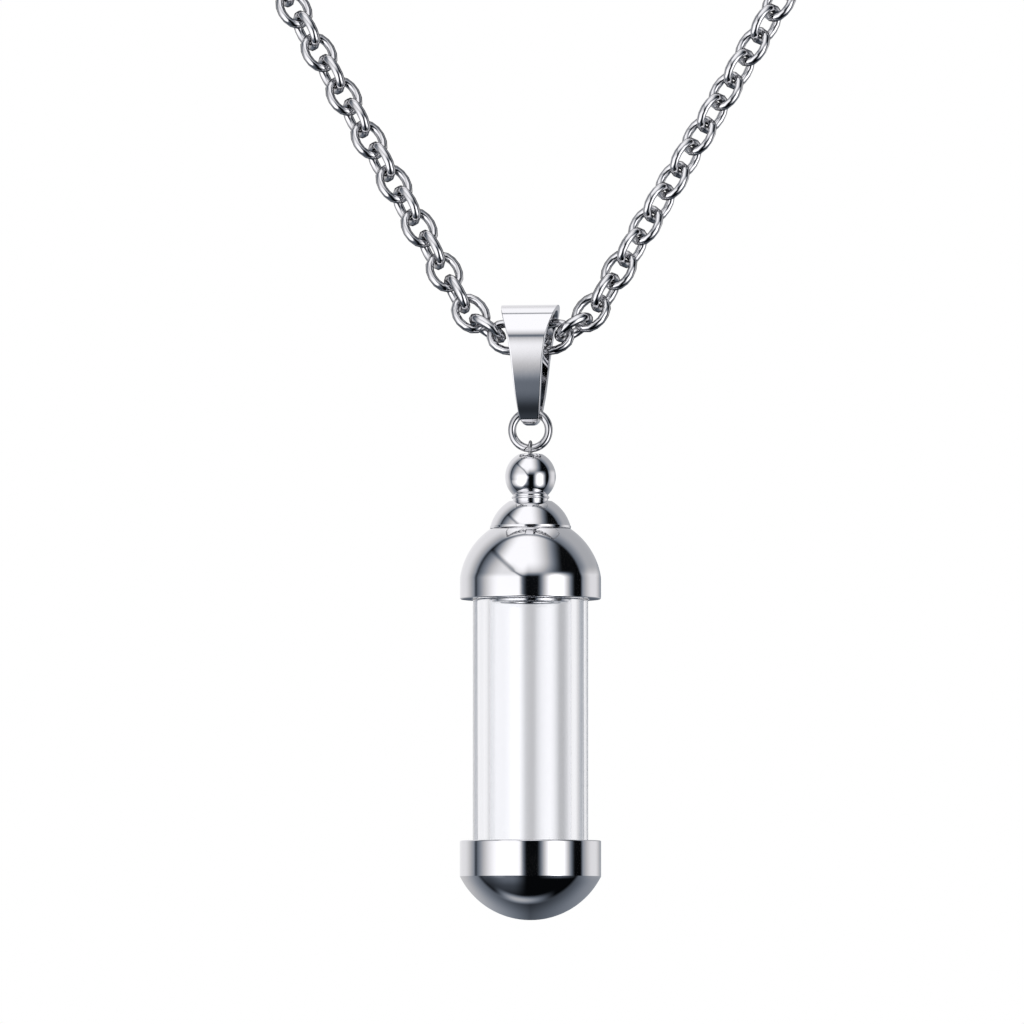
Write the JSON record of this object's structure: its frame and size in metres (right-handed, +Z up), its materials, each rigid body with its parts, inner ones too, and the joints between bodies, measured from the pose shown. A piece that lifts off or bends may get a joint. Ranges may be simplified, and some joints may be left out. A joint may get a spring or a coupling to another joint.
{
  "type": "keepsake urn pendant on a cable chain necklace",
  "caption": "Clear glass ash tube between domed polished steel caps, closed by a screw plug with a ball top, hung by a jump ring and a tapered bail on a cable chain.",
  "frame": {"origin": "the point at the nape where the necklace rests on the back of the neck, between the last links and level with the middle of the clasp", "axes": "+Z up; the pendant hangs at the front, towards -Y; +X to the viewer's right, seen from the front"},
  "size_m": [0.1228, 0.1332, 0.1716],
  "materials": {
    "polished_steel": "mirror-polished stainless steel",
    "steel_chain": "bright stainless steel wire and strip",
    "clear_glass": "clear smooth glass"
  },
  "bodies": {
    "necklace": {"chain": "steel_chain", "clasp": "steel_chain"},
    "bail": {"bail": "polished_steel"},
    "jump_ring": {"jump_ring": "steel_chain"},
    "plug": {"screw_plug": "polished_steel"},
    "vial": {"top_cap": "polished_steel", "glass_tube": "clear_glass", "bottom_cap": "polished_steel"}
  },
  "joints": [
    {"name": "bail_swing", "type": "hinge", "parent": "necklace", "child": "bail", "pos_m": [0, -0.12412, -0.1202], "axis": [1, 0, 0], "range_deg": [-60, 60]},
    {"name": "ring_swing", "type": "hinge", "parent": "bail", "child": "jump_ring", "pos_m": [0, -0.12412, -0.1264], "axis": [1, 0, 0], "range_deg": [-60, 60]},
    {"name": "plug_swing", "type": "hinge", "parent": "jump_ring", "child": "plug", "pos_m": [0, -0.12412, -0.12954], "axis": [1, 0, 0], "range_deg": [-45, 45]},
    {"name": "vial_unscrew", "type": "slide", "parent": "plug", "child": "vial", "axis": [0, 0, -1], "range_m": [0, 0.006]}
  ]
}
